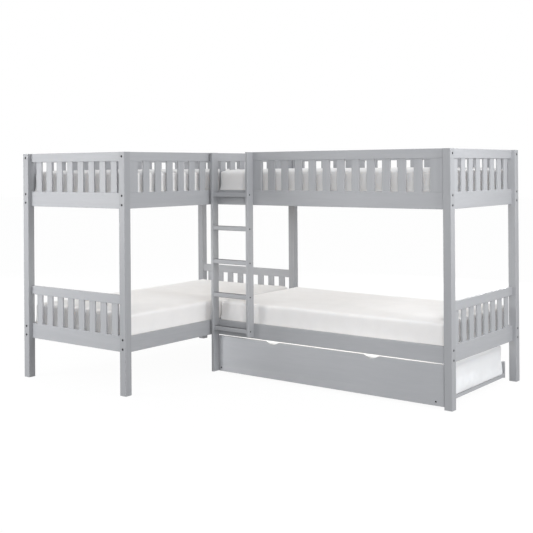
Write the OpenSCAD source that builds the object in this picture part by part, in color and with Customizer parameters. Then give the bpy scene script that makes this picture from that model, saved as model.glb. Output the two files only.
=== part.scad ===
// L-shaped bunk bed for four sleepers with a roll-out trundle bed.
// The left bunk runs front to back, and the back bunk runs from it to the right.
// Both share the back post between them, and a ladder is fixed in the inner corner.
// The origin is on the floor, under the centre of the whole bed.
// X runs to the right, Y to the back and Z up. All sizes are in millimetres.

/* [Overall] */
// Height of the posts and of the whole bed
bed_h = 1665; // [1600:1:1800]
// Outer width of one bunk
bunk_w = 1080; // [1040:1:1160]
// Clear length between the two posts at the ends of a side rail
rail_l = 1905; // [1850:1:2050]
// Side of the square posts
post_s = 57; // [50:1:70]

/* [Rails] */
// Height of the side rails and of the bottom rails of the ends
rail_h = 110; // [104:1:124]
// Thickness of all rails
rail_t = 22; // [20:1:26]
// Height of the top rails of the ends and guards
cap_h = 63; // [50:1:80]
// Clear height between a bottom rail and the top rail over it
panel_gap = 217; // [190:1:240]
// Underside of the lower rails above the floor
lower_z = 291; // [285:1:320]
// Distance of an end rail's outer face behind the post's outer face
end_inset = 29; // [22:1:30]

/* [Slats of ends and guards] */
// Width of an upright slat in an end panel
end_slat_w = 60; // [40:1:70]
// Number of upright slats in an end panel
end_slats = 8; // [6:1:9]
// Thickness of all upright slats
slat_t = 12; // [10:1:16]
// Distance of the end slats behind the outer face of the end rails
end_slat_inset = 6; // [2:1:8]
// Width of an upright slat in a guard
guard_slat_w = 60; // [45:1:70]
// Number of openings in a full-length guard
guard_slots = 15; // [12:1:18]
// Width of the solid stile at each end of a full-length guard
guard_stile_w = 90; // [60:1:110]
// Number of openings in the short guard beside the ladder
short_guard_slots = 12; // [9:1:14]
// Width of the stiles of the short guard
short_stile_w = 76; // [60:1:90]

/* [Beds] */
// Height of a mattress at its edge
mattress_h = 152; // [120:1:170]
// Rise of a mattress from its edge to its middle
crown = 9; // [4:1:14]
// How far the deck lies below the top of the side rails
deck_drop = 10; // [6:1:20]
// Number of slats in one deck
deck_slats = 14; // [10:1:16]
// Width of one deck slat
deck_slat_w = 70; // [50:1:80]
// Thickness of the deck slats
deck_slat_t = 12; // [10:1:18]
// Height and thickness of the battens that carry the deck slats
batten = 24; // [20:1:28]

/* [Ladder] */
// Thickness of the ladder's two uprights
ladder_t = 22; // [18:1:26]
// Depth of the ladder's two uprights
ladder_d = 66; // [55:1:80]
// Clear width between the uprights
ladder_w = 314; // [290:1:360]
// Lower end of the long upright above the floor
ladder_leg_z = 18; // [10:1:22]
// Lower end of the short upright above the underside of the lower rails
ladder_rail_lift = 16; // [10:1:20]
// Number of rungs
rungs = 5; // [4:1:6]
// Height of the lowest rung's middle above the underside of the lower rails
rung_low = 56; // [50:1:60]
// Height of the highest rung's middle above the underside of the upper rails
rung_high = 76; // [70:1:80]
// Height of a rung
rung_h = 33; // [26:1:40]
// Depth of a rung
rung_d = 40; // [32:1:48]
// Distance of a rung behind the uprights' front faces
rung_inset = 5; // [3:1:10]

/* [Trundle] */
// Height of the front board's underside above the floor
trundle_z = 17; // [12:1:22]
// Gap between the front board's top and the side rail over it
trundle_top_gap = 7; // [5:1:16]
// Gap at each end of the front board
trundle_end_gap = 5; // [4:1:10]
// Distance of the front board behind the front of the corner post
trundle_inset = 8; // [4:1:12]
// Thickness of the front board and the back board
board_t = 18; // [15:1:20]
// Outer depth of the trundle
trundle_d = 990; // [960:1:1012]
// Height of the back board's top above the floor
back_board_z = 143; // [120:1:160]
// Thickness of the trundle's mattress at its edge
trundle_mattress_h = 214; // [150:1:220]
// Width of a finger scallop
scallop_w = 135; // [110:1:150]
// Depth of a finger scallop
scallop_d = 19; // [16:1:28]
// Distance between the two scallops
scallop_pitch = 832; // [600:1:1000]
// Height of the trundle's end battens
end_batten_h = 25; // [22:1:32]
// Width of the trundle's end battens
end_batten_w = 55; // [45:1:60]
// Number of slats in the trundle's deck
trundle_slats = 12; // [8:1:14]

/* [Casters] */
// Radius of a caster wheel
wheel_r = 20; // [18:0.5:20]
// Width of a caster wheel
wheel_w = 18; // [14:1:22]
// Radius of a caster's axle
axle_r = 3; // [2.5:0.5:4]

/* [Fasteners] */
// Radius of the frame bolts' shanks
bolt_r = 4; // [3:0.5:5]
// Radius of the frame bolts' heads
bolt_head_r = 8; // [6.5:0.5:8]
// Radius of the counterbores in the posts
counterbore_r = 9; // [8.5:0.5:11]
// Depth of the counterbores in the posts
counterbore_d = 8; // [7:0.5:10]
// Radius of the barrel nuts
nut_r = 7; // [6:0.5:8]
// Distance of a barrel nut from the end of its rail
nut_inset = 40; // [30:1:50]

/* [Hidden] */
// Running clearance of a wheel on its axle, and of a shank in its hole
run_clear = 0.06;
shank_clear = 0.3;
// Gap between a soft piece and what it lies on
soft_gap = 0.3;
// Rounding of the posts' and boards' long edges
post_ease = 4;
board_ease = 3;
slat_ease = 2;
$fn = 32;

// Outer sizes of the whole bed
total_l = bunk_w + rail_l + post_s;
total_d = rail_l + 2 * post_s;
back_y = total_d - bunk_w;
post_mid = post_s / 2;
// Undersides of the two levels
end_h = rail_h + panel_gap + cap_h;
upper_z = bed_h - end_h;
levels = [lower_z, upper_z];
// Distance of a side rail behind the post's outer face
side_inset = (post_s - rail_t) / 2;
side_inner = side_inset + rail_t;
// Bolts stand at these heights above a rail's underside, and in the middle of a top rail
rail_bolts = [26, rail_h - 20];
cap_bolt = bed_h - cap_h / 2;
// The joint between the two bunks is bolted lower, under the batten
tee_bolts = [34, 54];
tee_sink = 7;
leg_screws = [14, rail_h - 12];
rail_screws = [30, rail_h - 14];
bolt_head_h = 6;
// Length of a bolt past its barrel nut
bolt_tip = 4;
screw_r = 3;
screw_head_r = 6;
screw_head_h = 4;
screw_sink = 5;
// Length of a screw's shank in the second board
screw_bite = 40;

// Decks and mattresses
deck_top = rail_h - deck_drop;
batten_top = deck_top - deck_slat_t;
batten_free = 60;
mattress_side_gap = 5.5;
mattress_end_gap = 3.5;
mattress_corner = 24;

// Ladder, screwed to the front of the back bunk
ladder_y1 = back_y + side_inset;
ladder_y0 = ladder_y1 - ladder_d;
leg_x = bunk_w;
short_x = leg_x + ladder_t + ladder_w;
rung_mid_y = ladder_y0 + rung_inset + rung_d / 2;
rung_z0 = lower_z + rung_low;
rung_pitch = (upper_z + rung_high - rung_z0) / (rungs - 1);
rung_zs = [for (i = [0:rungs - 1]) rung_z0 + i * rung_pitch];
ladder_rail_z = lower_z + ladder_rail_lift;

// Trundle, between the ladder's long upright and the corner post
trundle_x0 = leg_x + ladder_t + trundle_end_gap;
trundle_x1 = total_l - post_s - trundle_end_gap;
trundle_y0 = back_y + trundle_inset;
trundle_y1 = trundle_y0 + trundle_d;
trundle_top = lower_z - trundle_top_gap;
trundle_mid_x = (trundle_x0 + trundle_x1) / 2;
// The scallops' middle lies this far to the left of the front board's middle
scallop_shift = 23;
end_batten_inset = 12;
back_board_gap = 14;
ledger_z = 18;
trundle_deck_z = 56;
trundle_slat_w = 70;
caster_slat_w = 100;
ledger_w = 22;
slat_x0 = trundle_x0 + end_batten_inset + end_batten_w;
slat_x1 = trundle_x1 - end_batten_inset - end_batten_w;
slat_z0 = trundle_deck_z - deck_slat_t;
screw_xs = [slat_x0 - 45, slat_x1 + 9];
trundle_screw_z = trundle_deck_z - end_batten_h / 2;

// Casters hang under the two widest slats
fork_t = 2;
rivet_h = 1.5;
plate_t = slat_z0 - 2 * wheel_r - 1.5;
wheel_side_gap = 1;
caster_x = 8 + caster_slat_w / 2;
caster_y = board_t + ledger_w + 50;
caster_xs = [slat_x0 + caster_x, slat_x1 - caster_x];
caster_ys = [trundle_y0 + caster_y, trundle_y1 - caster_y];
plate_l = 60;
plate_w = 46;

// Colours
paint = [0.68, 0.69, 0.71];
paint_dark = [0.60, 0.61, 0.63];
cloth = [0.93, 0.92, 0.90];
bare_wood = [0.80, 0.71, 0.56];
dark_steel = [0.16, 0.16, 0.17];
zinc = [0.62, 0.63, 0.65];
black_rubber = [0.12, 0.12, 0.13];

// ---------- shared shapes ----------

// Moves from the bed's front left corner on the floor to the origin
module at_corner() {
    translate([-total_l / 2, -total_d / 2, 0]) children();
}

// Rectangle with rounded corners
module eased(w, h, r) {
    translate([r, 0]) square([w - 2 * r, h]);
    translate([0, r]) square([w, h - 2 * r]);
    for (x = [r, w - r], y = [r, h - r]) translate([x, y]) circle(r);
}

// Boards between two corners, with their four long edges rounded
module board_x(a, b, r = board_ease) {
    translate(a) rotate([90, 0, 90]) linear_extrude(b.x - a.x) eased(b.y - a.y, b.z - a.z, r);
}
module board_y(a, b, r = board_ease) {
    translate([a.x, b.y, a.z]) rotate([90, 0, 0])
        linear_extrude(b.y - a.y) eased(b.x - a.x, b.z - a.z, r);
}
module board_z(a, b, r = board_ease) {
    translate(a) linear_extrude(b.z - a.z) eased(b.x - a.x, b.y - a.y, r);
}

// Turns local +Z to a direction named "+x", "-x", "+y" or "-y"
module aim(p, d) {
    turn = d == "+x" ? [0, 90, 0] : d == "-x" ? [0, -90, 0] : d == "+y" ? [-90, 0, 0] : [90, 0, 0];
    translate(p) rotate(turn) children();
}
function step(d) = d == "+x" ? [1, 0, 0] : d == "-x" ? [-1, 0, 0] : d == "+y" ? [0, 1, 0] : [0, -1, 0];

// ---------- bolted joints ----------

// Bolts of a pair of posts on the left bunk: heads on the front and back faces of the posts
function bolts_y(x, zs) = [for (z = zs, e = [0, 1]) [[x, e * total_d, z], e == 0 ? "+y" : "-y"]];
// Bolts of one post at the right end
function bolts_x(y, zs) = [for (z = zs) [[total_l, y, z], "-x"]];
// Bolts that join a front rail of the back bunk to the left bunk's inner rail
function bolts_tee(zs) = [for (z = zs) [[bunk_w - side_inner, back_y + post_mid, z], "+x"]];

function rail_zs(z0) = [for (o = rail_bolts) z0 + o];
all_zs = concat(rail_zs(lower_z), rail_zs(upper_z), [cap_bolt]);
function tee_zs(z0) = [for (o = tee_bolts) z0 + o];

// Hole with a counterbore for a head, from the surface inwards
module bolt_hole(length, r, head_r, sink) {
    translate([0, 0, -1]) cylinder(r = head_r, h = sink + 1);
    cylinder(r = r, h = length);
}

// Hole for a screw through a board of thickness t, its head sunk by sink
module screw_hole(t, sink) {
    bolt_hole(t + 1, screw_r + shank_clear, screw_head_r + 0.5, sink);
}

// Bore for a screw's end, from 1 mm outside the board it bites in
module screw_bore() {
    cylinder(r = screw_r + run_clear, h = screw_bite + 3);
}

// Bolt with a socket head, its head's seat at depth sink
module socket_bolt(length, r, head_r, head_h, sink) {
    difference() {
        union() {
            translate([0, 0, sink - head_h]) cylinder(r = head_r, h = head_h);
            translate([0, 0, sink - 1]) cylinder(r = r, h = length - sink + 1);
        }
        translate([0, 0, sink - head_h - 1]) cylinder(r = head_r * 0.45, h = head_h * 0.6 + 1, $fn = 6);
    }
}

module post_holes(bolts) {
    for (b = bolts)
        aim(b[0], b[1]) bolt_hole(post_s + 1, bolt_r + shank_clear, counterbore_r, counterbore_d);
}

// Bores in a rail's end: one for the bolt, and a crossing one for the barrel nut.
// through is the thickness of the wood between the bolt's head face and the rail's end.
module rail_holes(bolts, through, nut_dir) {
    for (b = bolts) {
        at = b[0] + step(b[1]) * (through + nut_inset);
        aim(b[0] + step(b[1]) * (through - 1), b[1])
            cylinder(r = bolt_r + shank_clear, h = nut_inset + nut_r + bolt_tip + 4);
        aim(at - step(nut_dir) * (rail_t / 2 + 1), nut_dir) cylinder(r = nut_r + 0.1, h = rail_t - 1);
    }
}

module nut(bolt, through, nut_dir) {
    at = bolt[0] + step(bolt[1]) * (through + nut_inset);
    nut_l = rail_t - 4;
    difference() {
        aim(at - step(nut_dir) * (rail_t / 2 - 1), nut_dir) cylinder(r = nut_r, h = nut_l);
        aim(at - step(bolt[1]) * 2 * nut_r, bolt[1]) cylinder(r = bolt_r + run_clear, h = 4 * nut_r);
    }
}

// ---------- posts ----------

module post(x, y, bolts) {
    color(paint) at_corner() difference() {
        board_z([x, y, 0], [x + post_s, y + post_s, bed_h], post_ease);
        post_holes(bolts);
    }
}

function front_bolts(x) = [for (b = bolts_y(x, all_zs)) if (b[1] == "+y") b];
function rear_bolts(x) = [for (b = bolts_y(x, all_zs)) if (b[1] == "-y") b];

module post_left_front() { post(0, 0, front_bolts(post_mid)); }
module post_inner_front() { post(bunk_w - post_s, 0, front_bolts(bunk_w - post_mid)); }
module post_left_back() { post(0, total_d - post_s, rear_bolts(post_mid)); }
module post_right_front() { post(total_l - post_s, back_y, bolts_x(back_y + post_mid, all_zs)); }
module post_right_back() {
    post(total_l - post_s, total_d - post_s, bolts_x(total_d - post_mid, all_zs));
}
module post_shared_back() {
    color(paint) at_corner() difference() {
        board_z([bunk_w - post_s, total_d - post_s, 0], [bunk_w, total_d, bed_h], post_ease);
        post_holes(rear_bolts(bunk_w - post_mid));
        bracket_post_holes();
    }
}

// ---------- end panels ----------

// An end panel spans the gap between two posts. It is drawn along +X from the left post,
// with its outer face towards -Y.
end_l = bunk_w - 2 * post_s;
module end_rails(z0) {
    board_x([0, end_inset, z0], [end_l, end_inset + rail_t, z0 + rail_h]);
    board_x([0, end_inset, z0 + end_h - cap_h], [end_l, end_inset + rail_t, z0 + end_h]);
}
module end_slat_row(z0) {
    gap = (end_l - end_slats * end_slat_w) / (end_slats + 1);
    y0 = end_inset + end_slat_inset;
    for (i = [0:end_slats - 1]) {
        x0 = gap + i * (end_slat_w + gap);
        z1 = z0 + rail_h + panel_gap;
        board_z([x0, y0, z0 + rail_h], [x0 + end_slat_w, y0 + slat_t, z1], slat_ease);
    }
}
module front_end() { color(paint) at_corner() translate([post_s, 0, 0]) children(); }
module rear_end() {
    color(paint_dark) at_corner() translate([bunk_w - post_s, total_d, 0])
        rotate([0, 0, 180]) children();
}
module right_end() {
    color(paint) at_corner() translate([total_l, back_y + post_s, 0]) rotate([0, 0, 90]) children();
}

// ---------- side rails ----------

cap_z = bed_h - cap_h;

// Rail of the left bunk, along Y. Its barrel nuts go in from the bed's inside, in the direction nut_dir.
module left_rail(x0, z0, h, bolt_zs, nut_dir) {
    difference() {
        board_y([x0, post_s, z0], [x0 + rail_t, total_d - post_s, z0 + h]);
        rail_holes(bolts_y(x0 + rail_t / 2, bolt_zs), post_s, nut_dir);
    }
}
module left_side_rail(x0, z0, nut_dir) { left_rail(x0, z0, rail_h, rail_zs(z0), nut_dir); }
module left_cap(x0, nut_dir) { left_rail(x0, cap_z, cap_h, [cap_bolt], nut_dir); }
// The inner rail is bored for the bolts that carry the back bunk's front rail
module left_inner_rail(z0) {
    difference() {
        left_side_rail(bunk_w - side_inner, z0, "+x");
        for (b = bolts_tee(tee_zs(z0)))
            aim(b[0], b[1]) bolt_hole(rail_t + 1, bolt_r + shank_clear, counterbore_r, tee_sink);
    }
}
// The back bunk's front rail starts at the left bunk's inner rail and carries the ladder
module back_front_rail(z0) {
    y0 = back_y + side_inset;
    difference() {
        board_x([bunk_w - side_inset, y0, z0], [total_l - post_s, y0 + rail_t, z0 + rail_h]);
        rail_holes(bolts_x(back_y + post_mid, rail_zs(z0)), post_s, "-y");
        rail_holes(bolts_tee(tee_zs(z0)), rail_t, "-y");
        ladder_screw_holes(z0);
    }
}
// The top rail over it starts at the ladder's short upright and leaves the way in free
module back_front_cap() {
    y0 = back_y + side_inset;
    difference() {
        board_x([short_x, y0, cap_z], [total_l - post_s, y0 + rail_t, bed_h]);
        rail_holes(bolts_x(back_y + post_mid, [cap_bolt]), post_s, "-y");
        aim([short_mid, y0 + rail_t, cap_bolt], "-y") screw_hole(rail_t, screw_sink);
    }
}
module back_rear_rail(z0, h, bolt_zs, bracket_z) {
    y0 = total_d - side_inner;
    difference() {
        board_x([bunk_w, y0, z0], [total_l - post_s, y0 + rail_t, z0 + h]);
        rail_holes(bolts_x(total_d - post_mid, bolt_zs), post_s, "+y");
        bracket_rail_holes(bracket_z);
    }
}
module back_rear_side_rail(z0) { back_rear_rail(z0, rail_h, rail_zs(z0), z0 + bracket_lift); }
module back_rear_cap() { back_rear_rail(cap_z, cap_h, [cap_bolt], cap_bolt - bracket_h / 2); }

module left_outer_lower_rail() { color(paint) at_corner() left_side_rail(side_inset, lower_z, "-x"); }
module left_inner_lower_rail() { color(paint_dark) at_corner() left_inner_rail(lower_z); }
module back_front_lower_rail() { color(paint_dark) at_corner() back_front_rail(lower_z); }
module back_rear_lower_rail() { color(paint_dark) at_corner() back_rear_side_rail(lower_z); }

// Each upper side rail and the top rail over it
module left_outer_upper_rails() {
    color(paint) at_corner() {
        left_side_rail(side_inset, upper_z, "-x");
        left_cap(side_inset, "-x");
    }
}
module left_inner_upper_rails() {
    color(paint_dark) at_corner() {
        left_inner_rail(upper_z);
        left_cap(bunk_w - side_inner, "+x");
    }
}
module back_front_upper_rails() {
    color(paint_dark) at_corner() {
        back_front_rail(upper_z);
        back_front_cap();
    }
}
module back_rear_upper_rails() {
    color(paint_dark) at_corner() {
        back_rear_side_rail(upper_z);
        back_rear_cap();
    }
}

// ---------- guards ----------

// Upright slats and stiles between an upper side rail and its top rail, along +X, with equal openings
module guard_bars(length, slots, stile) {
    gap = (length - 2 * stile - (slots - 1) * guard_slat_w) / slots;
    y0 = (rail_t - slat_t) / 2;
    z0 = upper_z + rail_h;
    for (x0 = [0, length - stile]) board_z([x0, 0, z0], [x0 + stile, rail_t, cap_z], slat_ease);
    for (i = [0:slots - 2]) {
        x0 = stile + gap + i * (guard_slat_w + gap);
        board_z([x0, y0, z0], [x0 + guard_slat_w, y0 + slat_t, cap_z], slat_ease);
    }
}
module left_guard(x0) {
    at_corner() translate([x0 + rail_t, post_s, 0]) rotate([0, 0, 90])
        guard_bars(rail_l, guard_slots, guard_stile_w);
}
module left_outer_guard() { color(paint) left_guard(side_inset); }
module left_inner_guard() { color(paint_dark) left_guard(bunk_w - side_inner); }
module back_front_guard() {
    color(paint_dark) at_corner() translate([short_x, back_y + side_inset, 0])
        guard_bars(total_l - post_s - short_x, short_guard_slots, short_stile_w + ladder_t);
}
module back_rear_guard() {
    color(paint_dark) at_corner() translate([bunk_w, total_d - side_inner, 0])
        guard_bars(rail_l, guard_slots, guard_stile_w);
}

// ---------- decks ----------

bed_in = bunk_w - 2 * side_inner;
// Two battens on the side rails of a bed that runs along +X from its left end
module battens() {
    for (z0 = levels, y0 = [0, bed_in - batten]) {
        z1 = z0 + batten_top;
        board_x([batten_free, y0, z1 - batten], [rail_l - batten_free, y0 + batten, z1]);
    }
}
module deck(z0) {
    pitch = (rail_l - 2 * batten_free - deck_slat_w) / (deck_slats - 1);
    for (i = [0:deck_slats - 1]) {
        x0 = batten_free + i * pitch;
        x1 = x0 + deck_slat_w;
        board_y([x0, 1, z0 + batten_top], [x1, bed_in - 1, z0 + deck_top], slat_ease);
    }
}
// Frames of the two bunks: local X along the bed, local Y across it, from the inner face of a side rail
module in_left_bunk() {
    at_corner() translate([bunk_w - side_inner, post_s, 0]) rotate([0, 0, 90]) children();
}
module in_back_bunk() {
    at_corner() translate([bunk_w, back_y + side_inner, 0]) children();
}
module deck_battens() {
    color(bare_wood) {
        in_left_bunk() battens();
        in_back_bunk() battens();
    }
}

// ---------- mattresses ----------

// Outline of half sizes a and b with corner radius r, whose sides are drawn in by pull
arc_n = 5;
side_n = 6;
function corner_pts(cx, cy, r, a0) =
    [for (k = [0:arc_n]) [cx + r * cos(a0 + 90 * k / arc_n), cy + r * sin(a0 + 90 * k / arc_n)]];
function side_pts(p, q, pull, nx, ny) =
    [for (k = [1:side_n]) let (u = k / (side_n + 1), s = pull * 4 * u * (1 - u))
        [p.x + (q.x - p.x) * u - nx * s, p.y + (q.y - p.y) * u - ny * s]];
function outline(a, b, r, pull) = concat(
    corner_pts(a - r, b - r, r, 0), side_pts([a - r, b], [r - a, b], pull, 0, 1),
    corner_pts(r - a, b - r, r, 90), side_pts([-a, b - r], [-a, r - b], pull, -1, 0),
    corner_pts(r - a, r - b, r, 180), side_pts([r - a, -b], [a - r, -b], pull, 0, -1),
    corner_pts(a - r, r - b, r, 270), side_pts([a, r - b], [a, b - r], pull, 1, 0));

// Each level of a mattress: [inset of the outline, height], from the flat underside up
edge_r = 24;
function levels_of(h) = [
    [edge_r, 0], [edge_r * 0.42, 3.5], [edge_r * 0.1, 12], [0, edge_r],
    [2.5, h * 0.32], [4, h * 0.5], [2.5, h * 0.68],
    [0, h - edge_r], [edge_r * 0.08, h - edge_r * 0.6], [edge_r * 0.4, h - edge_r * 0.2], [edge_r, h]];
// Rings of the domed top, as shares of the outline's size
dome = [0.93, 0.84, 0.7, 0.52, 0.32, 0.12];

// Mattress of length l, width w and edge height h, its centre at the origin of its underside
module mattress(l, w, h, rise) {
    n = 4 * (arc_n + 1 + side_n);
    sides = [for (v = levels_of(h))
        [for (p = outline(l / 2 - v[0], w / 2 - v[0], mattress_corner - v[0] * 0.6, 5)) [p.x, p.y, v[1]]]];
    top = [for (p = outline(l / 2 - edge_r, w / 2 - edge_r, mattress_corner - edge_r * 0.6, 5)) p];
    domes = [for (f = dome) [for (p = top) [p.x * f, p.y * f, h + rise * (1 - pow(f, 2.2))]]];
    rings = concat(sides, domes);
    m = len(rings);
    points = concat([for (r = rings) each r], [[0, 0, h + rise]]);
    walls = [for (i = [0:m - 2], k = [0:n - 1]) let (a = i * n + k, b = i * n + (k + 1) % n)
        each [[a, b + n, b], [a, a + n, b + n]]];
    bottom = [for (k = [1:n - 2]) [0, k, k + 1]];
    roof = [for (k = [0:n - 1]) [(m - 1) * n + k, m * n, (m - 1) * n + (k + 1) % n]];
    polyhedron(points, concat(walls, bottom, roof), convexity = 4);
}
mattress_l = rail_l - 2 * mattress_end_gap;
mattress_w = bed_in - 2 * mattress_side_gap;
module bed_mattress(z0) {
    color(cloth) translate([rail_l / 2, bed_in / 2, z0 + deck_top + soft_gap])
        mattress(mattress_l, mattress_w, mattress_h, crown);
}

// ---------- ladder ----------

leg_mid = leg_x + ladder_t / 2;
short_mid = short_x + ladder_t / 2;
ladder_sink = 6;
rung_bore = 45;
// Bolts through the uprights into the rungs' ends
rung_bolts = [for (z = rung_zs) each [
    [[leg_x, rung_mid_y, z], "+x"], [[short_x + ladder_t, rung_mid_y, z], "-x"]]];
module rung_holes(d) {
    for (b = rung_bolts) if (b[1] == d) aim(b[0], d) screw_hole(ladder_t, ladder_sink);
}
// Screws from inside the back bunk into the uprights: [x, height]
function upright_screws(z0) = concat(
    [for (o = leg_screws) [leg_mid, z0 + o]],
    [for (o = rail_screws) [short_mid, z0 + o]]);
all_screws = concat(upright_screws(lower_z), upright_screws(upper_z), [[short_mid, cap_bolt]]);
module ladder_screw_holes(z0) {
    for (s = upright_screws(z0))
        aim([s[0], ladder_y1 + rail_t, s[1]], "-y") screw_hole(rail_t, screw_sink);
}
module pilot_holes(x) {
    for (s = all_screws) if (s[0] == x) aim([x, ladder_y1 + 1, s[1]], "-y") screw_bore();
}
module ladder_leg() {
    color(paint_dark) at_corner() difference() {
        board_z([leg_x, ladder_y0, ladder_leg_z], [leg_x + ladder_t, ladder_y1, bed_h]);
        rung_holes("+x");
        pilot_holes(leg_mid);
    }
}
module ladder_rail() {
    color(paint_dark) at_corner() difference() {
        board_z([short_x, ladder_y0, ladder_rail_z], [short_x + ladder_t, ladder_y1, bed_h]);
        rung_holes("-x");
        pilot_holes(short_mid);
    }
}
module ladder_rungs() {
    x0 = leg_x + ladder_t;
    y0 = ladder_y0 + rung_inset;
    color(paint_dark) at_corner() for (z = rung_zs) difference() {
        board_x([x0, y0, z - rung_h / 2], [short_x, y0 + rung_d, z + rung_h / 2], 6);
        aim([x0 - 1, rung_mid_y, z], "+x") cylinder(r = screw_r + run_clear, h = rung_bore);
        aim([short_x + 1, rung_mid_y, z], "-x") cylinder(r = screw_r + run_clear, h = rung_bore);
    }
}

// ---------- fasteners ----------

post_bolt_l = post_s + nut_inset + nut_r + bolt_tip;
tee_bolt_l = rail_t + nut_inset + nut_r + bolt_tip;
module frame_bolts() {
    long_bolts = concat(bolts_y(post_mid, all_zs), bolts_y(bunk_w - post_mid, all_zs),
        bolts_x(back_y + post_mid, all_zs), bolts_x(total_d - post_mid, all_zs));
    color(dark_steel) at_corner() {
        for (b = long_bolts)
            aim(b[0], b[1]) socket_bolt(post_bolt_l, bolt_r, bolt_head_r, bolt_head_h, counterbore_d);
        for (z0 = levels, b = bolts_tee(tee_zs(z0)))
            aim(b[0], b[1]) socket_bolt(tee_bolt_l, bolt_r, bolt_head_r, bolt_head_h, tee_sink);
    }
}
module barrel_nuts() {
    color(zinc) at_corner() {
        for (b = bolts_y(post_mid, all_zs)) nut(b, post_s, "-x");
        for (b = bolts_y(bunk_w - post_mid, all_zs)) nut(b, post_s, "+x");
        for (b = bolts_x(back_y + post_mid, all_zs)) nut(b, post_s, "-y");
        for (b = bolts_x(total_d - post_mid, all_zs)) nut(b, post_s, "+y");
        for (z0 = levels, b = bolts_tee(tee_zs(z0))) nut(b, rail_t, "-y");
    }
}
module ladder_bolts() {
    color(dark_steel) at_corner() for (b = rung_bolts) aim(b[0], b[1])
        socket_bolt(ladder_t + rung_bore - 6, screw_r, screw_head_r, screw_head_h, ladder_sink);
}
module ladder_screws() {
    color(dark_steel) at_corner() for (s = all_screws) aim([s[0], ladder_y1 + rail_t, s[1]], "-y")
        socket_bolt(rail_t + screw_bite, screw_r, screw_head_r, screw_head_h, screw_sink);
}

// Steel angles that hold the back bunk's rear rails to the shared post
bracket_t = 2.5;
bracket_h = 40;
bracket_l = 44;
bracket_lift = 18;
bracket_w = side_inset - 1;
bracket_screw_l = 20;
bracket_screw_r = 2;
bracket_zs = [lower_z + bracket_lift, upper_z + bracket_lift, cap_bolt - bracket_h / 2];
bracket_y = total_d - side_inner;
bracket_holes = [10, bracket_h - 10];
bracket_post_y = bracket_y - bracket_t - (bracket_w - bracket_t) / 2;
module bracket_post_holes() {
    for (z0 = bracket_zs, o = bracket_holes) aim([bunk_w + 1, bracket_post_y, z0 + o], "-x")
        cylinder(r = bracket_screw_r + run_clear, h = bracket_screw_l + 1);
}
module bracket_rail_holes(z0) {
    for (o = bracket_holes) aim([bunk_w + bracket_l - 12, bracket_y - 1, z0 + o], "+y")
        cylinder(r = bracket_screw_r + run_clear, h = rail_t - 3);
}
module bracket_screw(length) {
    translate([0, 0, -2]) cylinder(r = 4, h = 2);
    translate([0, 0, -1]) cylinder(r = bracket_screw_r, h = length + 1);
}
module bracket(z0) {
    translate([bunk_w, bracket_y - bracket_t, z0]) cube([bracket_l, bracket_t, bracket_h]);
    translate([bunk_w, bracket_y - bracket_w, z0]) cube([bracket_t, bracket_w, bracket_h]);
    for (o = bracket_holes) {
        aim([bunk_w + bracket_t, bracket_post_y, z0 + o], "-x")
            bracket_screw(bracket_t + bracket_screw_l - 2);
        aim([bunk_w + bracket_l - 12, bracket_y - bracket_t, z0 + o], "+y")
            bracket_screw(bracket_t + rail_t - 6);
    }
}
module corner_brackets() {
    color(zinc) at_corner() for (z0 = bracket_zs) bracket(z0);
}

// ---------- trundle ----------

// Finger scallop in a top edge at z = 0: a hollow arc with rounded shoulders
module scallop() {
    shoulder = 22;
    half = scallop_w / 2;
    reach = (half * half + scallop_d * scallop_d) / (2 * scallop_d);
    hollow = reach - shoulder;
    lift = hollow - scallop_d;
    // Point where the hollow arc meets a shoulder
    meet = [half * hollow / reach, lift - (lift + shoulder) * hollow / reach];
    translate([0, lift]) circle(hollow, $fn = 96);
    difference() {
        polygon([[-meet.x, meet.y], [-half, -shoulder], [-half, 1], [half, 1], [half, -shoulder], meet]);
        for (s = [-1, 1]) translate([s * half, -shoulder]) circle(shoulder, $fn = 48);
    }
}
module trundle_screw_holes(y, d) {
    for (x = screw_xs) aim([x, y, trundle_screw_z], d) screw_hole(board_t, screw_sink);
}
module trundle_front() {
    mid_x = trundle_mid_x - scallop_shift;
    color(paint_dark) at_corner() difference() {
        board_x([trundle_x0, trundle_y0, trundle_z], [trundle_x1, trundle_y0 + board_t, trundle_top]);
        for (x = [mid_x - scallop_pitch / 2, mid_x + scallop_pitch / 2])
            translate([x, trundle_y0 + board_t + 1, trundle_top])
                rotate([90, 0, 0]) linear_extrude(board_t + 2) scallop();
        trundle_screw_holes(trundle_y0, "+y");
    }
}
module trundle_back() {
    color(paint_dark) at_corner() difference() {
        board_x([trundle_x0 + back_board_gap, trundle_y1 - board_t, ledger_z + 8],
            [trundle_x1 - back_board_gap, trundle_y1, back_board_z]);
        trundle_screw_holes(trundle_y1, "-y");
    }
}
module trundle_end_battens() {
    y0 = trundle_y0 + board_t;
    y1 = trundle_y1 - board_t;
    color(paint_dark) at_corner() for (x0 = [slat_x0 - end_batten_w, slat_x1]) difference() {
        board_y([x0, y0, trundle_deck_z - end_batten_h], [x0 + end_batten_w, y1, trundle_deck_z]);
        for (x = screw_xs) {
            aim([x, y0 - 1, trundle_screw_z], "+y") screw_bore();
            aim([x, y1 + 1, trundle_screw_z], "-y") screw_bore();
        }
    }
}
module trundle_ledgers() {
    mid_y = (trundle_y0 + trundle_y1) / 2;
    color(bare_wood) at_corner()
        for (y0 = [trundle_y0 + board_t, mid_y - ledger_w / 2, trundle_y1 - board_t - ledger_w])
            board_x([slat_x0, y0, ledger_z], [slat_x1, y0 + ledger_w, slat_z0]);
}
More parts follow.
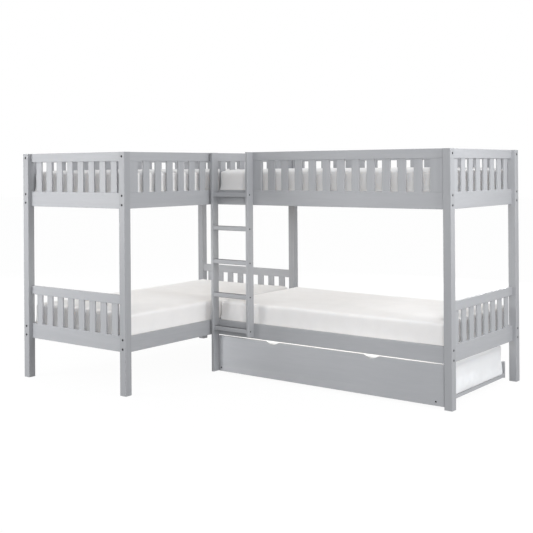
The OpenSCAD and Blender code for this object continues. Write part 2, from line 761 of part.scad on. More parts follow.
module trundle_deck() {
    y0 = trundle_y0 + board_t + 1;
    y1 = trundle_y1 - board_t - 1;
    half = caster_slat_w / 2;
    inner = [caster_xs[0] + half, caster_xs[1] - half];
    n = trundle_slats - 2;
    gap = (inner[1] - inner[0] - n * trundle_slat_w) / (n + 1);
    color(bare_wood) at_corner() {
        for (x = caster_xs) board_y([x - half, y0, slat_z0], [x + half, y1, trundle_deck_z], slat_ease);
        for (i = [0:n - 1]) {
            x0 = inner[0] + gap + i * (trundle_slat_w + gap);
            board_y([x0, y0, slat_z0], [x0 + trundle_slat_w, y1, trundle_deck_z], slat_ease);
        }
    }
}
module trundle_screws() {
    l = board_t + screw_bite;
    color(dark_steel) at_corner() for (x = screw_xs) {
        aim([x, trundle_y0, trundle_screw_z], "+y")
            socket_bolt(l, screw_r, screw_head_r, screw_head_h, screw_sink);
        aim([x, trundle_y1, trundle_screw_z], "-y")
            socket_bolt(l, screw_r, screw_head_r, screw_head_h, screw_sink);
    }
}
// Free space at the ends of the trundle's mattress and behind it
trundle_mattress_inset = 5;
trundle_mattress_back = 33;
module trundle_mattress() {
    l = trundle_x1 - trundle_x0 - 2 * trundle_mattress_inset;
    w = trundle_d - 2 * board_t - mattress_side_gap - trundle_mattress_back;
    mid_y = trundle_y0 + board_t + mattress_side_gap + w / 2;
    color(cloth) at_corner() translate([trundle_mid_x, mid_y, trundle_deck_z + soft_gap])
        mattress(l, w, trundle_mattress_h, crown);
}

// ---------- casters ----------

// Fork of bent steel with its riveted axle, the wheel's middle at the origin of its floor point
module fork() {
    half = wheel_w / 2 + wheel_side_gap;
    outer = half + fork_t;
    plate_z = slat_z0 - plate_t;
    cheek_r = axle_r + 5;
    cheek_w = plate_l * 0.36;
    translate([-plate_w / 2, -plate_l / 2, plate_z]) cube([plate_w, plate_l, plate_t]);
    for (x = [half, -outer]) translate([x, 0, 0]) rotate([90, 0, 90]) linear_extrude(fork_t) {
        translate([0, wheel_r]) circle(cheek_r);
        polygon([[-cheek_r, wheel_r], [cheek_r, wheel_r],
            [cheek_w, plate_z + 0.5], [-cheek_w, plate_z + 0.5]]);
    }
    translate([-outer, 0, wheel_r]) rotate([0, 90, 0]) cylinder(r = axle_r, h = 2 * outer);
    for (x = [outer, -outer - rivet_h])
        translate([x, 0, wheel_r]) rotate([0, 90, 0]) cylinder(r = axle_r + 1.5, h = rivet_h);
}
module caster_forks() {
    color(zinc) at_corner() for (x = caster_xs, y = caster_ys) translate([x, y, 0]) fork();
}
// Wheel turned about its axle, with a rounded tread and a dished face on each side
module wheel(i, j) {
    half = wheel_w / 2;
    bore = axle_r + run_clear;
    tread = 3;
    rim = wheel_r - 5;
    hub = axle_r + 3.5;
    dish = 2.5;
    color(black_rubber) at_corner() translate([caster_xs[i], caster_ys[j], wheel_r])
        rotate([0, 90, 0]) rotate_extrude($fn = 64) difference() {
            union() {
                translate([bore, -half]) square([wheel_r - tread - bore, 2 * half]);
                translate([bore, tread - half]) square([wheel_r - bore, 2 * (half - tread)]);
                for (s = [-1, 1]) translate([wheel_r - tread, s * (half - tread)]) circle(tread);
            }
            for (y = [half - dish, -half - 1]) translate([hub, y]) square([rim - hub, dish + 1]);
        }
}

// ---------- the pieces ----------

post_left_front();
post_inner_front();
post_left_back();
post_shared_back();
post_right_front();
post_right_back();
front_end() end_rails(lower_z);  // front_end_lower_rails
front_end() end_slat_row(lower_z);  // front_end_lower_slats
front_end() end_rails(upper_z);  // front_end_upper_rails
front_end() end_slat_row(upper_z);  // front_end_upper_slats
rear_end() end_rails(lower_z);  // rear_end_lower_rails
rear_end() end_slat_row(lower_z);  // rear_end_lower_slats
rear_end() end_rails(upper_z);  // rear_end_upper_rails
rear_end() end_slat_row(upper_z);  // rear_end_upper_slats
right_end() end_rails(lower_z);  // right_end_lower_rails
right_end() end_slat_row(lower_z);  // right_end_lower_slats
right_end() end_rails(upper_z);  // right_end_upper_rails
right_end() end_slat_row(upper_z);  // right_end_upper_slats
left_outer_lower_rail();
left_inner_lower_rail();
back_front_lower_rail();
back_rear_lower_rail();
left_outer_upper_rails();
left_inner_upper_rails();
back_front_upper_rails();
back_rear_upper_rails();
left_outer_guard();
left_inner_guard();
back_front_guard();
back_rear_guard();
deck_battens();
color(bare_wood) in_left_bunk() deck(lower_z);  // left_lower_deck
color(bare_wood) in_left_bunk() deck(upper_z);  // left_upper_deck
color(bare_wood) in_back_bunk() deck(lower_z);  // back_lower_deck
color(bare_wood) in_back_bunk() deck(upper_z);  // back_upper_deck
in_left_bunk() bed_mattress(lower_z);  // left_lower_mattress
in_left_bunk() bed_mattress(upper_z);  // left_upper_mattress
in_back_bunk() bed_mattress(lower_z);  // back_lower_mattress
in_back_bunk() bed_mattress(upper_z);  // back_upper_mattress
ladder_leg();
ladder_rail();
ladder_rungs();
ladder_bolts();
frame_bolts();
barrel_nuts();
ladder_screws();
corner_brackets();
trundle_front();
trundle_back();
trundle_end_battens();
trundle_ledgers();
trundle_deck();
trundle_screws();
trundle_mattress();
caster_forks();
wheel(0, 0);  // wheel_front_left
wheel(1, 0);  // wheel_front_right
wheel(0, 1);  // wheel_rear_left
wheel(1, 1);  // wheel_rear_right
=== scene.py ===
import math

import bpy
import numpy as np
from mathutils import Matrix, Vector

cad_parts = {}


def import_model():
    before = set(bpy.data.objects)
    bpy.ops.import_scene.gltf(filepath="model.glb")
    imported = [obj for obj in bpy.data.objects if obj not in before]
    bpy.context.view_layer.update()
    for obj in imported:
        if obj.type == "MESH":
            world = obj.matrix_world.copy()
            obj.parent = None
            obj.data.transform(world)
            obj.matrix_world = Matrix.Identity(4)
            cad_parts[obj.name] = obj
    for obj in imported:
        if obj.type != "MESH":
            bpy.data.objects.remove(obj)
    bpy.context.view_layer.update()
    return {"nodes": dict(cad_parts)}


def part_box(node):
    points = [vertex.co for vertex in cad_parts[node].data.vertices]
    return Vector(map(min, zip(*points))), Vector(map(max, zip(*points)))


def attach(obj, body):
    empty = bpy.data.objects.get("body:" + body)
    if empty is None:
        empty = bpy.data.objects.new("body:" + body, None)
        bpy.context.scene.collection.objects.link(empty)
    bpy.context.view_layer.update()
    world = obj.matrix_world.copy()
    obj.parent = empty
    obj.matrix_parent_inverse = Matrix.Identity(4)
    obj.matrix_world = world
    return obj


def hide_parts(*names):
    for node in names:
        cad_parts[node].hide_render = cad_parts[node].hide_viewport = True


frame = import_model()

NODES = frame["nodes"]
SCENE = bpy.context.scene


# ---------- node trees ----------

class Tree:
    """A material's or world's node tree, with short calls for nodes and links."""

    def __init__(self, owner):
        owner.use_nodes = True
        self.tree = owner.node_tree
        self.tree.nodes.clear()

    def add(self, kind, **values):
        node = self.tree.nodes.new("ShaderNode" + kind)
        for key, value in values.items():
            if key in node.inputs:
                self.set(node.inputs[key], value)
            else:
                setattr(node, key, value)
        return node

    def set(self, socket, value):
        """Links a socket's value, or writes a constant, to a socket."""
        if isinstance(value, bpy.types.NodeSocket):
            self.tree.links.new(value, socket)
        else:
            socket.default_value = value

    def math(self, operation, a, b=None):
        node = self.add("Math", operation=operation)
        self.set(node.inputs[0], a)
        if b is not None:
            self.set(node.inputs[1], b)
        return node.outputs[0]

    def ramp(self, value, low, high, out_low=0.0, out_high=1.0, curve="LINEAR"):
        """The value's place between low and high, clamped and put between out_low and out_high."""
        node = self.add("MapRange", clamp=True, interpolation_type=curve)
        for socket, v in zip(node.inputs, (value, low, high, out_low, out_high)):
            self.set(socket, v)
        return node.outputs[0]

    def mix(self, factor, a, b, blend="MIX"):
        """A mixed colour; sockets 0, 6 and 7 are the colour mode's factor and its two colours."""
        node = self.add("Mix", data_type="RGBA", blend_type=blend)
        self.set(node.inputs[0], factor)
        self.set(node.inputs[6], a)
        self.set(node.inputs[7], b)
        return node.outputs[2]

    def object_coords(self):
        return self.add("TexCoord").outputs["Object"]

    def stretched(self, coords, scale):
        return self.add("Mapping", vector_type="POINT", Vector=coords, Scale=scale).outputs["Vector"]

    def noise(self, coords, scale, detail=4.0, roughness=0.5, distortion=0.0):
        node = self.add("TexNoise", Vector=coords, Scale=scale, Detail=detail, Roughness=roughness,
                        Distortion=distortion)
        return node.outputs[0]

    def bump(self, height, strength, distance, normal=None):
        node = self.add("Bump", Strength=strength, Distance=distance, Height=height)
        if normal is not None:
            self.set(node.inputs["Normal"], normal)
        return node.outputs["Normal"]

    def shade(self, colour, **values):
        """A principled shader's output."""
        return self.add("BsdfPrincipled", **{"Base Color": colour}, **values).outputs[0]

    def blend(self, factor, a, b):
        """A mix of two shader nodes."""
        node = self.add("MixShader")
        for socket, value in zip(node.inputs, (factor, a.outputs[0], b.outputs[0])):
            self.set(socket, value)
        return node.outputs[0]

    def finish(self, shader, output="OutputMaterial"):
        self.set(self.add(output).inputs["Surface"], shader)


def srgb(r, g, b):
    """Linear colour of an sRGB value from 0 to 1."""
    return tuple(c / 12.92 if c <= 0.04045 else ((c + 0.055) / 1.055) ** 2.4 for c in (r, g, b)) + (1.0,)


def material(name):
    mat = bpy.data.materials.new(name)
    return mat, Tree(mat)


# ---------- materials ----------

# Scale of the grain along and across a board, along each axis
GRAIN = {"x": (1.1, 16.0, 16.0), "y": (16.0, 1.1, 16.0), "z": (16.0, 16.0, 1.1)}

# The paint's sRGB greys: two that streaks mix, one in broad patches and one along the fibres
GREYS = ((0.648, 0.654, 0.668), (0.672, 0.677, 0.690), (0.635, 0.641, 0.656), (0.598, 0.603, 0.616))
PAINTED_TOP_SHADE = (0.30, 0.30, 0.31, 1.0)  # painted shade: what the paint is multiplied by on the rungs' upward faces
SHADE_FROM_Z, SHADE_FULL_Z = 0.85, 0.98   # Z of the normals between which the painted shade comes in
# The pine's sRGB colours: two that growth lines mix and one along the fibres
PINE_TONES = ((0.88, 0.83, 0.74), (0.82, 0.75, 0.64), (0.74, 0.65, 0.53))
LINES = 46.0                          # how closely its growth lines follow each other


def paint(name, axis, tone=1.0, shaded_top=False):
    """Satin grey paint on wood with its grain along axis. Tone scales its greys; the flag after it darkens upward
    faces as painted shade.
    """
    mat, t = material(name)
    at = t.object_coords()
    along = t.stretched(at, GRAIN[axis])
    fibre = t.noise(along, 9.0, detail=6.0, roughness=0.65, distortion=0.4)
    streak = t.noise(along, 1.6, detail=3.0, roughness=0.5, distortion=1.2)
    broad = t.noise(at, 1.3, detail=2.0)
    brush = t.noise(along, 34.0, detail=3.0, roughness=0.7)
    grey = [srgb(*(tone * c for c in rgb)) for rgb in GREYS]
    colour = t.mix(t.ramp(streak, 0.3, 0.7), grey[0], grey[1])
    colour = t.mix(t.ramp(broad, 0.25, 0.75, 0.0, 0.5), colour, grey[2])
    colour = t.mix(t.ramp(fibre, 0.35, 0.75, 0.0, 0.22), colour, grey[3])
    # Painted shade: faces that point up are darkened to stand in for the shade on the rungs' tops
    if shaded_top:
        facing = t.add("SeparateXYZ", Vector=t.add("NewGeometry").outputs["True Normal"]).outputs["Z"]
        colour = t.mix(t.ramp(facing, SHADE_FROM_Z, SHADE_FULL_Z), colour, PAINTED_TOP_SHADE, "MULTIPLY")
    rough = t.ramp(fibre, 0.2, 0.8, 0.40, 0.52)
    height = t.math("ADD", t.math("MULTIPLY", fibre, 0.7), t.math("MULTIPLY", brush, 0.3))
    normal = t.bump(height, 0.35, 0.0006)
    t.finish(t.shade(colour, Roughness=rough, Normal=normal, IOR=1.46))
    return mat


def bare_wood(name, axis):
    """Planed pine with growth lines along axis."""
    mat, t = material(name)
    at = t.object_coords()
    along = t.stretched(at, GRAIN[axis])
    warp = t.noise(along, 1.2, detail=3.0, distortion=0.8)
    rings = t.math("SINE", t.math("MULTIPLY", warp, LINES))
    fibre = t.noise(along, 14.0, detail=6.0, roughness=0.7)
    pale, line, dark = [srgb(*rgb) for rgb in PINE_TONES]
    colour = t.mix(t.ramp(rings, -1.0, 1.0), pale, line)
    colour = t.mix(t.ramp(fibre, 0.4, 0.8, 0.0, 0.35), colour, dark)
    normal = t.bump(fibre, 0.4, 0.0008)
    rough = t.ramp(fibre, 0.2, 0.8, 0.5, 0.68)
    t.finish(t.shade(colour, Roughness=rough, Normal=normal))
    return mat


def steel(name, colour, metallic, low, high, speck):
    """Plated or blackened steel with fine specks, whose roughness lies between low and high."""
    mat, t = material(name)
    at = t.object_coords()
    fine = t.noise(at, speck, detail=5.0, roughness=0.6)
    cloudy = t.noise(at, speck * 0.12, detail=2.0)
    darker = tuple(c * 0.72 for c in colour[:3]) + (1.0,)
    plate = t.mix(t.ramp(cloudy, 0.3, 0.7), colour, darker)
    rough = t.ramp(fine, 0.25, 0.75, low, high)
    normal = t.bump(fine, 0.25, 0.0002)
    t.finish(t.shade(plate, Metallic=metallic, Roughness=rough, Normal=normal))
    return mat


def rubber(name):
    """Dark rubber with fine grit and some dust."""
    mat, t = material(name)
    at = t.object_coords()
    grit = t.noise(at, 900.0, detail=4.0, roughness=0.7)
    dust = t.noise(at, 60.0, detail=3.0)
    colour = t.mix(t.ramp(dust, 0.45, 0.8, 0.0, 0.5), srgb(0.12, 0.12, 0.125), srgb(0.24, 0.235, 0.23))
    rough = t.ramp(dust, 0.3, 0.8, 0.55, 0.8)
    normal = t.bump(grit, 0.4, 0.0003)
    t.finish(t.shade(colour, Roughness=rough, Normal=normal))
    return mat


def cloth(name, base, shade):
    """Off-white knit cover with a fine weave and a soft sheen, which lets some light through to its foam."""
    mat, t = material(name)
    at = t.object_coords()
    weave = [t.add("TexWave", wave_type="BANDS", bands_direction=axis, wave_profile="SIN", Vector=at,
                   Scale=190.0, Distortion=0.6, Detail=1.0).outputs[1] for axis in "XYZ"]
    knit = t.math("ADD", t.math("ADD", weave[0], weave[1]), weave[2])
    slub = t.noise(at, 420.0, detail=4.0, roughness=0.7)
    soft = t.noise(at, 7.0, detail=4.0, roughness=0.55)
    broad = t.noise(at, 1.6, detail=2.0)
    colour = t.mix(t.ramp(soft, 0.35, 0.7, 0.0, 0.6), base, shade)
    colour = t.mix(t.ramp(broad, 0.3, 0.75, 0.0, 0.4), colour, shade)
    colour = t.mix(t.ramp(slub, 0.45, 0.8, 0.0, 0.25), colour, shade)
    fine = t.bump(t.math("ADD", t.math("MULTIPLY", knit, 0.3), slub), 0.25, 0.0007)
    normal = t.bump(soft, 0.22, 0.006, fine)
    soft_light = {"Specular IOR Level": 0.2, "Sheen Weight": 0.25, "Sheen Roughness": 0.6,
                  "Subsurface Weight": 0.5, "Subsurface Radius": (1.0, 0.95, 0.9), "Subsurface Scale": 0.03}
    t.finish(t.shade(colour, Roughness=0.92, Normal=normal, **soft_light))
    return mat


PAINT = {axis: paint("paint_" + axis, axis) for axis in "xyz"}
POST_PAINT = paint("paint_posts", "z", 0.95)
PINE = {axis: bare_wood("pine_" + axis, axis) for axis in "xy"}
DARK_STEEL = steel("dark_steel", srgb(0.035, 0.035, 0.037), 0.0, 0.5, 0.65, 700.0)
ZINC = steel("zinc_plate", srgb(0.78, 0.79, 0.80), 1.0, 0.25, 0.42, 500.0)
RUBBER = rubber("wheel_rubber")
COVER = cloth("mattress_cover", srgb(0.935, 0.930, 0.928), srgb(0.905, 0.900, 0.898))
TRUNDLE_COVER = cloth("trundle_cover", srgb(0.900, 0.905, 0.912), srgb(0.875, 0.880, 0.888))

# Nodes that aren't named here are posts, wheels, or slats and ladder uprights, whose grain is upright
LOOKS = {
    "front_end_lower_rails": PAINT["x"], "front_end_upper_rails": PAINT["x"],
    "rear_end_lower_rails": PAINT["x"], "rear_end_upper_rails": PAINT["x"],
    "right_end_lower_rails": PAINT["y"], "right_end_upper_rails": PAINT["y"],
    "left_outer_lower_rail": PAINT["y"], "left_inner_lower_rail": PAINT["y"],
    "left_outer_upper_rails": PAINT["y"], "left_inner_upper_rails": PAINT["y"],
    "back_front_lower_rail": PAINT["x"], "back_rear_lower_rail": PAINT["x"],
    "back_front_upper_rails": PAINT["x"], "back_rear_upper_rails": PAINT["x"],
    # The rungs' upward faces carry painted shade
    "ladder_rungs": paint("paint_rungs", "x", shaded_top=True),
    "trundle_front": PAINT["x"], "trundle_back": PAINT["x"],
    "trundle_end_battens": PAINT["y"], "trundle_ledgers": PINE["x"], "trundle_deck": PINE["y"],
    "left_lower_deck": PINE["x"], "left_upper_deck": PINE["x"],
    "back_lower_deck": PINE["y"], "back_upper_deck": PINE["y"], "deck_battens": PINE["y"],
    "frame_bolts": DARK_STEEL, "ladder_bolts": DARK_STEEL, "ladder_screws": DARK_STEEL,
    "trundle_screws": DARK_STEEL, "barrel_nuts": ZINC, "corner_brackets": ZINC, "caster_forks": ZINC,
}
for name, node in NODES.items():
    upright = POST_PAINT if name.startswith("post_") else PAINT["z"]
    look = LOOKS.get(name, RUBBER if name.startswith("wheel_") else upright)
    for material_slot in node.material_slots:
        material_slot.material = look


# ---------- mattresses ----------

CELL = 0.016          # size of a cell of the cover's mesh
EDGE_R = 0.022        # rounding of the edges round the top
FOOT_R = 0.010        # rounding of the edges round the underside
CORNER_R = 0.010      # rounding of the upright corners
CROWN = 0.009         # rise of the top from its edge to its middle
DOME_POWER = 2.4      # how flat the crown is in its middle
WAIST = 0.003         # how far a side is drawn in halfway up
BOW = 0.002           # how far a side is drawn in halfway along
OVER_LENGTH = 0.004   # how much longer than its node a cover is
UNDER_WIDTH = 0.002   # how much narrower than its node a cover is
SIDE_ROOM = 0.0035    # how far a cover may stand out past its node's sides
TOP_ROOM = 0.008      # how far a cover may stand up past its node's top
SLACK = 0.012         # share by which the cover is cut larger than its core where it is loosest
CAP = 0.010           # how far the cover's folds may move it
PINNED_Z = 0.004      # height below which the cover stays on its seat
CLOTH_FRAMES = 18     # length of the simulation


def round_off(u, v, r, edge_u, edge_v):
    """Moves points of a square corner, with its faces at edge_u and edge_v, onto a quarter circle."""
    du = np.clip(u - (edge_u - r), 0, None)
    dv = np.clip(v - (edge_v - r), 0, None)
    norm = np.hypot(du, dv)
    scale = np.where(norm > 0, np.maximum(du, dv) / np.where(norm > 0, norm, 1), 1)
    both = (du > 0) & (dv > 0)
    return np.where(both, edge_u - r + du * scale, u), np.where(both, edge_v - r + dv * scale, v)


def grid_line(low, high):
    return np.linspace(low, high, max(4, round((high - low) / CELL)) + 1)


def box_surface(xs, ys, zs):
    """Points and quads of the surface of a box with grid lines at xs, ys and zs."""
    index, points, quads = {}, [], []

    def vertex(i, j, k):
        key = (i, j, k)
        if key not in index:
            index[key] = len(points)
            points.append((xs[i], ys[j], zs[k]))
        return index[key]

    nx, ny, nz = len(xs) - 1, len(ys) - 1, len(zs) - 1
    for i in range(nx):
        for j in range(ny):
            quads.append([vertex(i, j, nz), vertex(i + 1, j, nz), vertex(i + 1, j + 1, nz), vertex(i, j + 1, nz)])
            quads.append([vertex(i, j, 0), vertex(i, j + 1, 0), vertex(i + 1, j + 1, 0), vertex(i + 1, j, 0)])
    for i in range(nx):
        for k in range(nz):
            quads.append([vertex(i, 0, k), vertex(i + 1, 0, k), vertex(i + 1, 0, k + 1), vertex(i, 0, k + 1)])
            quads.append([vertex(i, ny, k), vertex(i, ny, k + 1), vertex(i + 1, ny, k + 1), vertex(i + 1, ny, k)])
    for j in range(ny):
        for k in range(nz):
            quads.append([vertex(0, j, k), vertex(0, j, k + 1), vertex(0, j + 1, k + 1), vertex(0, j + 1, k)])
            quads.append([vertex(nx, j, k), vertex(nx, j + 1, k), vertex(nx, j + 1, k + 1), vertex(nx, j, k + 1)])
    return np.array(points), quads


def mattress_form(length, width, height, crown):
    """Points and quads of a mattress on the origin: rounded edges, a domed top and drawn-in sides."""
    a, b = length / 2, width / 2
    points, quads = box_surface(grid_line(-a, a), grid_line(-b, b), grid_line(0, height))
    x, y, z = points.T
    sx, sy = np.sign(x), np.sign(y)
    ax, ay = np.abs(x), np.abs(y)
    # How far a point lies in from the side walls, before the corners are rounded
    depth = np.minimum(a - ax, b - ay)
    ax, ay = round_off(ax, ay, CORNER_R, a, b)
    mid = height / 2
    up = z > mid
    edge_r = np.where(up, EDGE_R, FOOT_R)
    out, tall = round_off(-depth, np.abs(z - mid), edge_r, 0.0, mid)
    inset = -out - depth
    # Direction out of the rounded outline
    gx = np.clip(ax - (a - CORNER_R), 0, None)
    gy = np.clip(ay - (b - CORNER_R), 0, None)
    flat = (gx == 0) & (gy == 0)
    norm = np.where(flat, 1, np.hypot(gx, gy))
    nx, ny = gx / norm, gy / norm
    wall = np.clip(1 - depth / edge_r, 0, 1)
    pull = WAIST * wall * (1 - (2 * z / height - 1) ** 2)
    along = np.where(gx > gy, 1 - (y / b) ** 2, 1 - (x / a) ** 2)
    pull = pull + BOW * wall * along
    ax = ax - nx * (inset + pull)
    ay = ay - ny * (inset + pull)
    z = mid + np.where(up, 1, -1) * tall
    dome = (1 - np.abs(x / a) ** DOME_POWER) * (1 - np.abs(y / b) ** DOME_POWER)
    z = z + np.where(up, crown * dome * np.clip((z - mid) / mid, 0, 1), 0)
    return np.stack([ax * sx, ay * sy, z], 1), quads


def mesh_object(name, points, faces):
    """A smooth-shaded mesh object in the scene."""
    mesh = bpy.data.meshes.new(name)
    mesh.from_pydata([tuple(p) for p in points], [], faces)
    mesh.update()
    mesh.polygons.foreach_set("use_smooth", [True] * len(mesh.polygons))
    obj = bpy.data.objects.new(name, mesh)
    SCENE.collection.objects.link(obj)
    return obj


def simulate(points, quads, slack, seed):
    """Points of a filled cover: it is cut larger than its core by slack, and pressure draws folds into it."""
    obj = mesh_object("cover_in_work", points, quads)
    pinned = obj.vertex_groups.new(name="base")
    pinned.add([i for i, p in enumerate(points) if p[2] < PINNED_Z], 1.0, "REPLACE")
    rng = np.random.default_rng(seed)
    shrink = obj.vertex_groups.new(name="slack")
    # The cover is looser in broad patches. Six draws of each are taken, and two are used
    phase = rng.uniform(0, 6.28, 6)
    wave = rng.uniform(2.0, 9.0, 6)
    for i, p in enumerate(points):
        w = 0.5 + 0.25 * math.sin(wave[0] * p[0] + phase[0]) + 0.25 * math.sin(wave[1] * p[1] + phase[1])
        shrink.add([i], min(1.0, max(0.0, w)), "REPLACE")
    cloth_mod = obj.modifiers.new("Cloth", "CLOTH")
    s = cloth_mod.settings
    s.quality = 5
    s.mass = 0.4
    s.tension_stiffness = s.compression_stiffness = 12.0
    s.shear_stiffness = 5.0
    s.bending_stiffness = 0.35
    s.shrink_min = -slack
    s.shrink_max = -slack * 0.2
    s.vertex_group_shrink = "slack"
    s.vertex_group_mass = "base"
    s.use_pressure = True
    s.uniform_pressure_force = 3.0
    s.effector_weights.gravity = 0.0
    cloth_mod.point_cache.frame_start = 1
    cloth_mod.point_cache.frame_end = CLOTH_FRAMES
    for f in range(1, CLOTH_FRAMES + 1):
        SCENE.frame_set(f)
    shaped = obj.evaluated_get(bpy.context.evaluated_depsgraph_get())
    out = np.zeros(len(points) * 3)
    shaped.data.vertices.foreach_get("co", out)
    bpy.data.objects.remove(obj)
    SCENE.frame_set(1)
    return out.reshape(-1, 3)


def covered(node, seed):
    """Points and quads of a mattress in its loose cover, as long, wide and high as a node, and along X."""
    low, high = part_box(node)
    length, width = sorted((high.x - low.x, high.y - low.y), reverse=True)
    points, quads = mattress_form(length + OVER_LENGTH, width - UNDER_WIDTH, high.z - low.z - CROWN, CROWN)
    moved = simulate(points, quads, SLACK, seed) - points
    size = np.linalg.norm(moved, axis=1, keepdims=True)
    points = points + moved * np.minimum(1, CAP / np.maximum(size, 1e-9))
    return points, quads


def place(name, node, body, shape, turn, cover=COVER):
    """Puts a mattress on a node's seat, turned about Z by quarter turns and kept inside the node's space."""
    low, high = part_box(node)
    points, quads = shape
    c, s = round(math.cos(turn * math.pi / 2)), round(math.sin(turn * math.pi / 2))
    at = np.stack([points[:, 0] * c - points[:, 1] * s, points[:, 0] * s + points[:, 1] * c, points[:, 2]], 1)
    at += [(low.x + high.x) / 2, (low.y + high.y) / 2, low.z]
    at[:, 0] = np.clip(at[:, 0], low.x - SIDE_ROOM, high.x + SIDE_ROOM)
    at[:, 1] = np.clip(at[:, 1], low.y - SIDE_ROOM, high.y + SIDE_ROOM)
    at[:, 2] = np.clip(at[:, 2], low.z, high.z + TOP_ROOM)
    obj = mesh_object(name, at, quads)
    smooth = obj.modifiers.new("Smooth", "SUBSURF")
    smooth.levels = smooth.render_levels = 1
    obj.data.materials.append(cover)
    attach(obj, body)
    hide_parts(node)


# The four bed mattresses are one size, so two shapes serve them
bed_shapes = [covered("left_lower_mattress", seed) for seed in (3, 11)]
trundle_shape = covered("trundle_mattress", 7)

place("left_lower_cover", "left_lower_mattress", "bed_frame", bed_shapes[0], 1)
place("left_upper_cover", "left_upper_mattress", "bed_frame", bed_shapes[1], 3)
place("back_lower_cover", "back_lower_mattress", "bed_frame", bed_shapes[1], 0)
place("back_upper_cover", "back_upper_mattress", "bed_frame", bed_shapes[0], 2)
place("trundle_cover", "trundle_mattress", "trundle", trundle_shape, 0, TRUNDLE_COVER)


# ---------- floor, light and camera ----------

def camera_rays(t):
    """1 for rays that show the background: straight from the camera, off gloss or through glass."""
    path = t.add("LightPath").outputs
    shown = t.math("MAXIMUM", path["Is Camera Ray"], path["Is Glossy Ray"])
    return t.math("MAXIMUM", shown, path["Is Transmission Ray"])


FLOOR_HALF = 40.0     # half the floor's side
FLOOR_Z = -0.001      # just under the feet, so that no two faces share a place
FLOOR_GLOW = 0.955    # share of plain white in the floor that the camera sees; the rest keeps the shadow
FLOOR_BOUNCE = 0.54   # sRGB grey of the floor for rays that light the bed


def floor():
    r, z = FLOOR_HALF, FLOOR_Z
    mesh = bpy.data.meshes.new("floor")
    mesh.from_pydata([(-r, -r, z), (r, -r, z), (r, r, z), (-r, r, z)], [], [(0, 1, 2, 3)])
    obj = bpy.data.objects.new("floor", mesh)
    SCENE.collection.objects.link(obj)
    mat, t = material("floor")
    fleck = t.noise(t.object_coords(), 2.0, detail=2.0)
    shown = camera_rays(t)
    pale = t.mix(t.ramp(fleck, 0.3, 0.7), srgb(0.97, 0.97, 0.97), srgb(0.99, 0.99, 0.99))
    diffuse = t.add("BsdfDiffuse", Color=t.mix(shown, srgb(*[FLOOR_BOUNCE] * 3), pale))
    glow = t.add("Emission", Color=(1, 1, 1, 1), Strength=1.0)
    t.finish(t.blend(t.math("MULTIPLY", shown, FLOOR_GLOW), diffuse, glow))
    mesh.materials.append(mat)


# Strength of the world's light from the horizon and from SKY_FULL of the way up
SKY_LOW, SKY_HIGH, SKY_FULL = 0.52, 0.82, 0.7


def world():
    sky = bpy.data.worlds.new("studio")
    SCENE.world = sky
    t = Tree(sky)
    z = t.add("SeparateXYZ", Vector=t.add("TexCoord").outputs["Generated"]).outputs["Z"]
    strength = t.ramp(z, 0.0, SKY_FULL, SKY_LOW, SKY_HIGH, curve="SMOOTHSTEP")
    soft = t.add("Background", Color=(0.98, 0.99, 1.0, 1.0), Strength=strength)
    white = t.add("Background", Color=(1, 1, 1, 1), Strength=1.0)
    t.finish(t.blend(camera_rays(t), soft, white), "OutputWorld")


def area_light(name, place_at, target, size, watts, glossy=True):
    """A panel that shines from place_at towards target and isn't seen itself."""
    data = bpy.data.lights.new(name, "AREA")
    data.shape = "RECTANGLE"
    data.size, data.size_y = size
    data.energy = watts
    lamp = bpy.data.objects.new(name, data)
    lamp.location = place_at
    aim = Vector(target) - Vector(place_at)
    lamp.rotation_euler = aim.to_track_quat("-Z", "Y").to_euler()
    lamp.visible_camera = False
    lamp.visible_glossy = glossy
    SCENE.collection.objects.link(lamp)
    return lamp


def fill_light(name, node, z, share, watts):
    """A soft panel at height z that shines down on a mattress, a share of its size."""
    low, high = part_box(node)
    x, y = (low.x + high.x) / 2, (low.y + high.y) / 2
    size = ((high.x - low.x) * share, (high.y - low.y) * share)
    area_light(name, (x, y, z), (x, y, 0.0), size, watts, glossy=False)


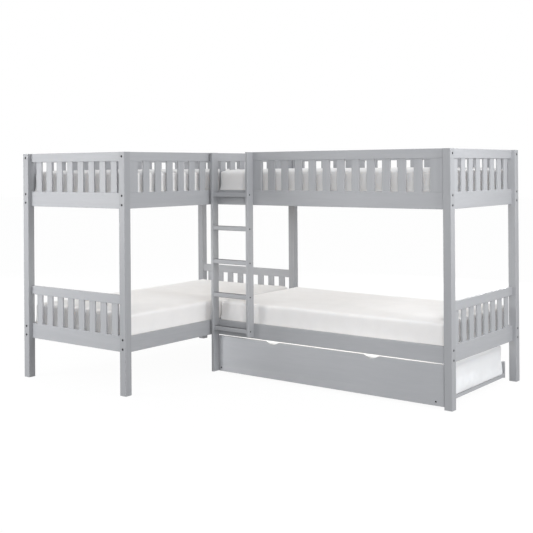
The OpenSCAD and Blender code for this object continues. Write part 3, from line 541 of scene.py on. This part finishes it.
# Name, place, target, size and watts of the panels round the bed
SOFTBOXES = [
    ("front_left_softbox", (-2.4, -3.2, 1.4), (-1.0, -1.0, 0.9), (1.2, 1.4), 55.0),
    ("front_softbox", (5.1, -5.5, 1.9), (0.0, 0.0, 0.9), (1.6, 1.6), 160.0),
    ("right_softbox", (8.0, -0.5, 2.3), (0.5, 0.2, 1.0), (2.4, 2.0), 90.0),
    ("back_softbox", (-0.5, 6.5, 1.2), (-0.3, 0.8, 0.9), (3.0, 1.6), 165.0),
    ("left_softbox", (-7.5, 0.5, 1.2), (-1.5, 0.0, 0.9), (3.0, 1.6), 165.0),
    ("right_end_softbox", (3.2, -0.2, 2.4), (1.5, 0.2, 1.3), (0.8, 1.2), 34.0),
]
# The same of panels inside the bed, which shine down on its shaded mattresses and don't show in gloss
FILLS = [
    ("left_fill", (-0.98, 0.45, 1.24), (-0.98, 0.45, 0.0), (0.8, 0.85), 1.3),
    ("back_fill", (0.05, 0.44, 1.24), (0.05, 0.44, 0.0), (0.85, 0.8), 0.8),
]
# Name, node, height, share of the node's size and watts of a panel above the trundle's mattress
TRUNDLE_FILL = ("trundle_fill", "trundle_mattress", 0.350, 0.98, 7.0)
# A strip of light under the left bunk, for the trundle's front board alone, which stands in that bunk's shade
BOARD_FILL = ("board_fill", (-0.85, -0.80, 0.262), (0.0, -0.06, 0.25), (0.4, 0.03), 6.2)


def lights():
    for lamp in SOFTBOXES:
        area_light(*lamp)
    for lamp in FILLS:
        area_light(*lamp, glossy=False)
    fill_light(*TRUNDLE_FILL)
    board_fill = area_light(*BOARD_FILL, glossy=False)
    board_fill.light_linking.receiver_collection = bpy.data.collections.new("lit_by_board_fill")
    board_fill.light_linking.receiver_collection.objects.link(NODES["trundle_front"])


# The camera stands level and is rolled a little; the picture is shifted, so that uprights stay parallel.
# Angles are in degrees, and FOCAL_PX and HORIZON_PX are in pixels of a picture PICTURE_PX wide and high
CAMERA_AT = (4.2076, -5.4905, 1.5432)
CAMERA_YAW = 37.449
CAMERA_ROLL = 0.406
FOCAL_PX = 940.2
HORIZON_PX = 168.6
PICTURE_PX = 533
SENSOR_MM = 36.0


def camera():
    data = bpy.data.cameras.new("camera")
    data.sensor_width = SENSOR_MM
    data.lens = FOCAL_PX / PICTURE_PX * SENSOR_MM
    data.shift_y = (HORIZON_PX - PICTURE_PX / 2) / PICTURE_PX
    obj = bpy.data.objects.new("camera", data)
    obj.location = CAMERA_AT
    obj.rotation_euler = (math.radians(90), math.radians(CAMERA_ROLL), math.radians(CAMERA_YAW))
    SCENE.collection.objects.link(obj)
    SCENE.camera = obj


floor()
world()
lights()
camera()
SCENE.view_settings.view_transform = "Standard"

bpy.context.view_layer.update()
